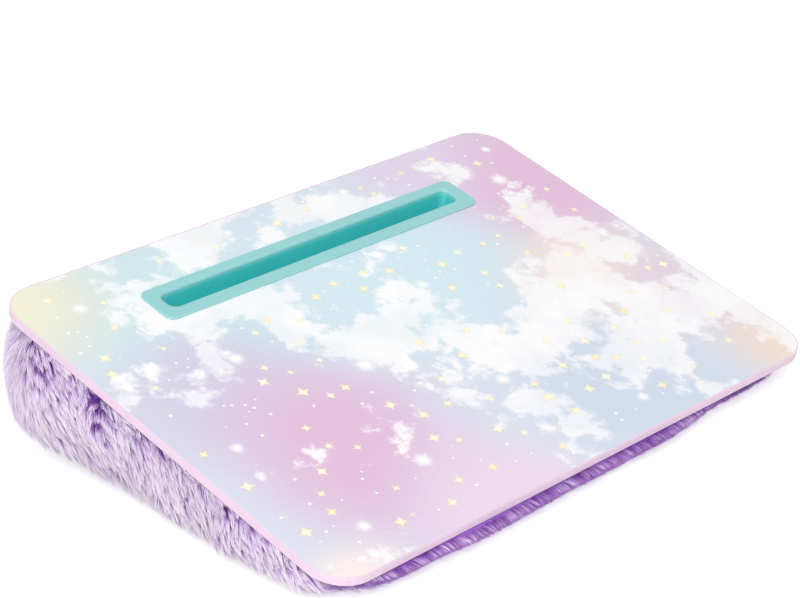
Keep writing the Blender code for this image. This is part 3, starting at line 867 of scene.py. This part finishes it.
def keep_clear(lines):
    """Keeps strands above the floor and under the board."""
    face = (lines - np.array(on_board(0, 0, UNDER_BOARD))) @ np.array(board_up)
    lines = lines - np.maximum(face, 0)[..., None] * np.array(board_up)
    lines[..., 2] = np.maximum(lines[..., 2], LEAST_FLOOR_GAP)
    return lines


# Each strand has a square cell of its own in the flat layout, and stays this far inside it.
CELL_MARGIN = 0.1


def strands(name, material, lines, normals, radii, tint, contrast):
    """A piece of pile: each strand is a thin ribbon that faces outwards and tapers to a point."""
    count = len(lines)
    along = unit(np.gradient(lines, axis=1))
    aside = unit(np.cross(normals[:, None], along))
    out = np.cross(along, aside)
    roll = chance.normal(0, RIBBON_ROLL, (count, 1, 1))
    aside = aside * np.cos(roll) + out * np.sin(roll)
    rows = []
    for step in range(PILE_STEPS):
        half_width = aside[:, step] * (radii * RIBBON_WIDTHS[step])[:, None]
        rows += [lines[:, step] + half_width, lines[:, step] - half_width]
    rows.append(lines[:, PILE_STEPS])
    per_strand = len(rows)
    points = np.stack(rows, axis=1).reshape(-1, 3)
    points[:, 2] = np.maximum(points[:, 2], LEAST_FLOOR_GAP)
    faces, cells = [], []
    for step in range(PILE_STEPS):
        low, high, left = step / PILE_STEPS, (step + 1) / PILE_STEPS, 2 * step
        if step < PILE_STEPS - 1:
            faces.append([left, left + 1, left + 3, left + 2])
            cells.append([(0, low), (1, low), (1, high), (0, high)])
        else:
            faces.append([left, left + 1, left + 2])
            cells.append([(0, low), (1, low), (0.5, high)])
    corners = (np.arange(count)[:, None] * per_strand + np.concatenate(faces)).ravel()
    totals = np.tile([len(face) for face in faces], count)
    mesh = bpy.data.meshes.new(name)
    mesh.vertices.add(len(points))
    mesh.vertices.foreach_set("co", points.astype(np.float32).ravel())
    mesh.loops.add(len(corners))
    mesh.loops.foreach_set("vertex_index", corners.astype(np.int32))
    mesh.polygons.add(len(totals))
    mesh.polygons.foreach_set("loop_start", (np.cumsum(totals) - totals).astype(np.int32))
    mesh.update(calc_edges=True)
    mesh.polygons.foreach_set("use_smooth", np.ones(len(totals), bool))
    side = int(np.ceil(np.sqrt(count)))
    cell = np.array([corner for face in cells for corner in face])
    corner_of = np.stack([np.arange(count) % side, np.arange(count) // side], axis=1)
    baked = mesh.uv_layers.new(name="OFBake")
    spread = (corner_of[:, None] + CELL_MARGIN + (1 - 2 * CELL_MARGIN) * cell[None]) / side
    baked.data.foreach_set("uv", spread.astype(np.float32).ravel())
    heights = np.append(np.repeat(np.arange(PILE_STEPS), 2), PILE_STEPS) / PILE_STEPS
    paleness = tint[:, None] + contrast[:, None] * heights[None]
    attribute = mesh.attributes.new("paleness", "FLOAT", "POINT")
    attribute.data.foreach_set("value", paleness.astype(np.float32).ravel())
    mesh.materials.append(material)
    piece = add_piece(name, mesh)
    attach(piece, "root")


# Polyester fur pile: fine translucent fibres, pale and hazy at the tip, and painted dark at the root
# for the shade where they are packed. The faint glow is painted light, for the light that the fibres pass
# on to each other.
PAINTED_GLOW = 0.03
DYE_PATCH = 1 / 28
DYE_PATCHINESS = 0.30
fur_pile, place = new_material("long_pile_polyester_fur")
paleness = add_node(fur_pile, "ShaderNodeAttribute", attribute_name="paleness")
patches = add_node(fur_pile, "ShaderNodeTexNoise", {
    "Vector": place, "Scale": 1 / DYE_PATCH, "Detail": 3.0})
shaded = add_node(fur_pile, "ShaderNodeMath", {
    0: patches.outputs["Fac"], 1: DYE_PATCHINESS, 2: paleness.outputs["Fac"]}, operation="MULTIPLY_ADD")
lilac = add_node(fur_pile, "ShaderNodeValToRGB", {"Fac": shaded.outputs["Value"]}, stops=[
    (0, "#6E3A98"), (0.26, "#B382D0"), (0.54, "#F0DFFC"), (1, "#FCF5FD")])
long_pile = finish_material(fur_pile, add_node(fur_pile, "ShaderNodeBsdfPrincipled", {
    "Base Color": lilac.outputs["Color"], "Roughness": 0.7, "Specular IOR Level": 0.12,
    "Sheen Weight": 0.08, "Sheen Roughness": 0.5,
    "Emission Color": lilac.outputs["Color"], "Emission Strength": PAINTED_GLOW}))

# Where no side pile stands: under the board, on the floor, and inside, round the slot's well.
BOARD_FACING = 0.92
FLOOR_FACING = -0.8
FLOOR_EDGE = 0.007
WELL_HALF = (0.17, 0.115)

# Stretches of the pile, each as where it starts and where it is full: by the floor, in metres;
# up to the board, as a share of its height; facing the front; and at the rounded back corners.
BY_FLOOR = (0.002, 0.02)
NEAR_BOARD = (0.55, 0.95)
FACING_FRONT = (0.35, 0.85)
CORNER_BACK = (0.105, 0.130)
CORNER_SIDE = (0.165, 0.200)

# How long the pile is and how high it rises there, as shares of its own length and rise.
FULL_PILE_HEIGHT = 0.05
LOWEST_PANEL = 0.35
LOW_PANEL_LENGTH = 0.45
PARTED_SHORTER = 0.3
FLOOR_LENGTH = 0.6
FRONT_SHORTER = 0.25
FLOOR_REST = 0.0015
LEAST_DROP = 0.25
RISE = 0.29
RISE_RIPPLE = 0.06
RISE_WIDTH = 0.02
RISE_SPREAD = (0.6, 1.35)
FLOOR_RISE = 0.45
FRONT_LOWER = 0.35

# How smoothly it is brushed there, so that fewer locks show.
FRONT_BRUSHED = 0.75
CORNER_BRUSHED = 0.85

# How pale or dark it is: by lock and by fibre at random, then by place, where it is painted shade or
# painted light, on the colour ramp's scale.
LOCK_SHADES = 0.15
FIBRE_SHADES = 0.08
PALER = 0.10
CORNER_PAINTED_LIGHT = 0.25
PARTED_PAINTED_SHADE = 0.13
FRONT_PAINTED_SHADE = 0.21
BOARD_PAINTED_SHADE = 0.30
BOARD_RIPPLE = 0.12
BOARD_RIPPLE_WIDTH = 0.018
FORE_DARKER = 0.10
FORE_HALF = (-0.03, -0.06)
REAR_DARKER = 0.04
REAR_HALF = (0.04, 0.07)
FLOOR_PAINTED_LIGHT = 0.08
FLOOR_PALE = (0.022, 0.004)
CORNER_CONTRAST = 0.5

spots, normals = scattered(skin, PILE_DENSITY)
under_board = normals @ np.array(board_up) > BOARD_FACING
on_floor = (normals[:, 2] < FLOOR_FACING) & (spots[:, 2] < FLOOR_EDGE)
in_well = (np.abs(spots[:, 0]) < WELL_HALF[0]) & (np.abs(spots[:, 1]) < WELL_HALF[1])
sides = ~under_board & ~on_floor & ~in_well
spots, normals = spots[sides], normals[sides]
lean, parted = combed(spots, normals)
board_height = SHEET_HEIGHT + spots[:, 1] * np.tan(BOARD_TILT)
above_floor = eased(spots[:, 2], *BY_FLOOR)
in_front = eased(-normals[:, 1], *FACING_FRONT)
near_board = eased(spots[:, 2] / board_height, *NEAR_BOARD)
round_corner = eased(spots[:, 1], *CORNER_BACK) * eased(np.abs(spots[:, 0]), *CORNER_SIDE)

panel_height = np.clip(board_height / FULL_PILE_HEIGHT, LOWEST_PANEL, 1)
lengths = PILE_LENGTH * (LOW_PANEL_LENGTH + (1 - LOW_PANEL_LENGTH) * panel_height)
lengths *= chance.uniform(*LENGTH_SPREAD, len(spots))
lengths *= (1 - PARTED_SHORTER * parted) * (FLOOR_LENGTH + (1 - FLOOR_LENGTH) * above_floor)
lengths *= 1 - FRONT_SHORTER * in_front
lengths = np.minimum(lengths, (spots[:, 2] + FLOOR_REST) / np.clip(-lean[:, 2], LEAST_DROP, 1))
lift = lengths * (RISE + RISE_RIPPLE * ripple(spots, RISE_WIDTH, 4))
lift *= chance.uniform(*RISE_SPREAD, len(spots))
lift *= (FLOOR_RISE + (1 - FLOOR_RISE) * above_floor) * (1 - FRONT_LOWER * in_front)
lift *= 1 + round_corner * near_board
lines = strand_lines(spots, normals, lean, lengths, lift)

stray = chance.random(len(spots)) < STRAY_SHARE
brushed = np.maximum(FRONT_BRUSHED * in_front, CORNER_BRUSHED * round_corner)
for spacing, cling in LOCKS:
    hold = cling * np.where(stray, STRAY_CLING, 1) * (1 - brushed)
    lines, led_by = clung(lines, hold, spacing, PILE_DENSITY)
rise = LOCK_RISE * chance.uniform(0, 2, len(spots))[led_by] * (1 - brushed)
up_strand = np.linspace(0, 1, PILE_STEPS + 1)
lines += normals[:, None] * rise[:, None, None] * up_strand[None, :, None]
lines = keep_clear(lines)
radii = np.where(stray, STRAY_RADIUS, PILE_RADIUS) * chance.uniform(*RADIUS_SPREAD, len(spots))

lock_value = chance.normal(0, LOCK_SHADES, len(spots))[led_by]
lock_value += chance.normal(0, FIBRE_SHADES, len(spots))
# Painted shade under the board, rippled, and towards the front and the rear of the panels; low by the
# floor it turns to painted light.
painted_shade_by_place = BOARD_PAINTED_SHADE + BOARD_RIPPLE * ripple(spots, BOARD_RIPPLE_WIDTH, 6)
painted_shade_by_place *= near_board * (1 - round_corner)
painted_shade_by_place += FORE_DARKER * eased(spots[:, 1], *FORE_HALF)
painted_shade_by_place += REAR_DARKER * eased(spots[:, 1], *REAR_HALF)
painted_shade_by_place -= FLOOR_PAINTED_LIGHT * eased(spots[:, 2], *FLOOR_PALE)
# Painted light at the back corners, painted shade in the partings, and in front painted shade for the
# board's overhang.
tint = lock_value * (1 - FRONT_BRUSHED * in_front) + PALER
tint += CORNER_PAINTED_LIGHT * round_corner - PARTED_PAINTED_SHADE * parted
tint -= painted_shade_by_place * (1 - in_front) + FRONT_PAINTED_SHADE * in_front
contrast = 1 - np.maximum(FRONT_BRUSHED * in_front, CORNER_CONTRAST * round_corner)

facing = np.degrees(np.arctan2(normals[:, 0], -normals[:, 1]))
panels = {
    "front": np.abs(facing) < 45,
    "right": (facing >= 45) & (facing < 135),
    "left": (facing <= -45) & (facing > -135),
    "back": np.abs(facing) >= 135,
}
for panel, members in panels.items():
    along = 1 if panel in ("left", "right") else 0
    chosen = np.flatnonzero(members)
    chosen = chosen[np.argsort(spots[chosen, along])]
    parts = int(np.ceil(len(chosen) / MOST_STRANDS))
    for number, some in enumerate(np.array_split(chosen, parts)):
        strands(f"pile_{panel}_{number + 1}", long_pile, lines[some], normals[some],
                radii[some], tint[some], contrast[some])


# Base pile. The same fabric under the cushion, where the lap desk's weight has pressed the fibres
# flat against the cover. They are shorter to the eye, matted and combed every way.

BASE_PILE_DENSITY = 0.45e6
BASE_PILE_LENGTH = 0.013
BASE_LENGTH_SPREAD = (0.7, 1.15)
BASE_RISE = 0.0018
BASE_RISE_SPREAD = (0.5, 1.1)
BASE_RADIUS = 0.00040
BASE_LOCK = 0.006
BASE_CLING = 0.7
BASE_SHADE = -0.16
BASE_LOCK_SHADES = 0.08
BASE_FIBRE_SHADES = 0.05

# Where it stands, and how it swirls: how far it turns over a wide and over a fine stretch. Near
# the edge it is combed inwards.
BASE_FACING = -0.7
BASE_TOP = 0.009
SWIRL = 2.2
SWIRL_WIDTH = 0.09
FINE_SWIRL = 0.8
FINE_SWIRL_WIDTH = 0.02
SWIRL_START = 1.4
COMBED_IN_FROM = (0.190, 0.118)

spots, normals = scattered(skin, BASE_PILE_DENSITY)
underneath = (normals[:, 2] < BASE_FACING) & (spots[:, 2] < BASE_TOP)
spots, normals = spots[underneath], normals[underneath]
swirl = SWIRL * ripple(spots, SWIRL_WIDTH, 11) + FINE_SWIRL * ripple(spots, FINE_SWIRL_WIDTH, 12)
swirl -= SWIRL_START
lean = np.stack([np.cos(swirl), np.sin(swirl), np.zeros(len(spots))], axis=1)
near_edge = np.abs(spots[:, :2]) > np.array([COMBED_IN_FROM])
lean[:, :2] = np.where(near_edge, -np.sign(spots[:, :2]) * np.abs(lean[:, :2]), lean[:, :2])
lean = unit(flat_on(lean, normals))
lengths = BASE_PILE_LENGTH * chance.uniform(*BASE_LENGTH_SPREAD, len(spots))
lift = BASE_RISE * chance.uniform(*BASE_RISE_SPREAD, len(spots))
lines = strand_lines(spots, normals, lean, lengths, lift)
lines, led_by = clung(lines, np.full(len(spots), BASE_CLING), BASE_LOCK, BASE_PILE_DENSITY)
lines = keep_clear(lines)
radii = BASE_RADIUS * chance.uniform(*RADIUS_SPREAD, len(spots))
tint = chance.normal(BASE_SHADE, BASE_LOCK_SHADES, len(spots))[led_by]
tint += chance.normal(0, BASE_FIBRE_SHADES, len(spots))
ordered = np.argsort(spots[:, 0])
parts = int(np.ceil(len(spots) / MOST_STRANDS))
for number, some in enumerate(np.array_split(ordered, parts)):
    strands(f"pile_base_{number + 1}", long_pile, lines[some], normals[some],
            radii[some], tint[some], np.ones(len(some)))


# Studio. A plain white floor and soft light from a wide lamp high at the front left, with an even
# white surround. The floor is as white as the backdrop and still takes the soft shadow.

FLOOR_HALF = 6
MOTTLE_ON_FLOOR = 1 / 3
FLOOR_GLOW = 0.46
SURROUND_LIGHT = 0.57

studio_white, place = new_material("matt_white_floor")
mottle = add_node(studio_white, "ShaderNodeTexNoise", {
    "Vector": place, "Scale": 1 / MOTTLE_ON_FLOOR})
white = add_node(studio_white, "ShaderNodeValToRGB", {"Fac": mottle.outputs["Fac"]}, stops=[
    (0, "#F4F4F4"), (1, "#F7F7F7")])
matt = add_node(studio_white, "ShaderNodeBsdfDiffuse", {"Color": white.outputs["Color"]})
seen = add_node(studio_white, "ShaderNodeLightPath")
glow = add_node(studio_white, "ShaderNodeEmission", {
    "Color": (1, 1, 1, 1), "Strength": add_node(studio_white, "ShaderNodeMath", {
        0: seen.outputs["Is Camera Ray"], 1: FLOOR_GLOW}, operation="MULTIPLY").outputs["Value"]})
both = add_node(studio_white, "ShaderNodeAddShader", {
    0: matt.outputs["BSDF"], 1: glow.outputs["Emission"]})
add_node(studio_white, "ShaderNodeOutputMaterial", {"Surface": both.outputs["Shader"]})
floor_mesh = bpy.data.meshes.new("studio_floor")
floor_corners = [(x * FLOOR_HALF, y * FLOOR_HALF, 0) for x, y in ((-1, -1), (1, -1), (1, 1), (-1, 1))]
floor_mesh.from_pydata(floor_corners, [], [(0, 1, 2, 3)])
floor_mesh.materials.append(studio_white)
floor = add_piece("studio_floor", floor_mesh)

surround = bpy.data.worlds.new("white_surround")
surround.use_nodes = True
surround.node_tree.nodes.clear()
path = add_node(surround, "ShaderNodeLightPath")
seen_white = add_node(surround, "ShaderNodeMath", {
    0: path.outputs["Is Camera Ray"], 1: path.outputs["Is Glossy Ray"]}, operation="MAXIMUM")
seen_through = add_node(surround, "ShaderNodeMath", {
    0: seen_white.outputs["Value"], 1: path.outputs["Is Transmission Ray"]}, operation="MAXIMUM")
strength = add_node(surround, "ShaderNodeMapRange", {
    "Value": seen_through.outputs["Value"], "To Min": SURROUND_LIGHT, "To Max": 1.0})
background = add_node(surround, "ShaderNodeBackground", {
    "Color": (1, 1, 1, 1), "Strength": strength.outputs["Result"]})
add_node(surround, "ShaderNodeOutputWorld", {"Surface": background.outputs["Background"]})
bpy.context.scene.world = surround

LAMP_PLACE = Vector((-2.05, -1.85, 2.3))
lamp = bpy.data.lights.new("wide_soft_lamp", "AREA")
lamp.shape = "DISK"
lamp.size = 2.4
lamp.energy = 82
lamp_object = add_piece("wide_soft_lamp", lamp)
lamp_object.location = LAMP_PLACE
lamp_object.rotation_euler = (-LAMP_PLACE).to_track_quat("-Z", "Y").to_euler()
bpy.context.scene.view_settings.view_transform = "Standard"


# Camera. A short telephoto view from the front left and 24 degrees above, at 1.45 m, which is
# where the photograph was taken from.

CAMERA_LENS = 103.55
CAMERA_FROM_BOARD = Vector((-0.9495, -0.9223, 0.6060))
CAMERA_LOOK = Vector((0.64910, 0.64280, -0.40680))

camera = bpy.data.cameras.new("product_camera")
camera.lens = CAMERA_LENS
camera.sensor_width = 36
camera.clip_start = 0.05
camera_object = add_piece("product_camera", camera)
camera_object.location = on_board(0, 0) + CAMERA_FROM_BOARD
camera_object.rotation_euler = CAMERA_LOOK.to_track_quat("-Z", "Y").to_euler()
bpy.context.scene.camera = camera_object
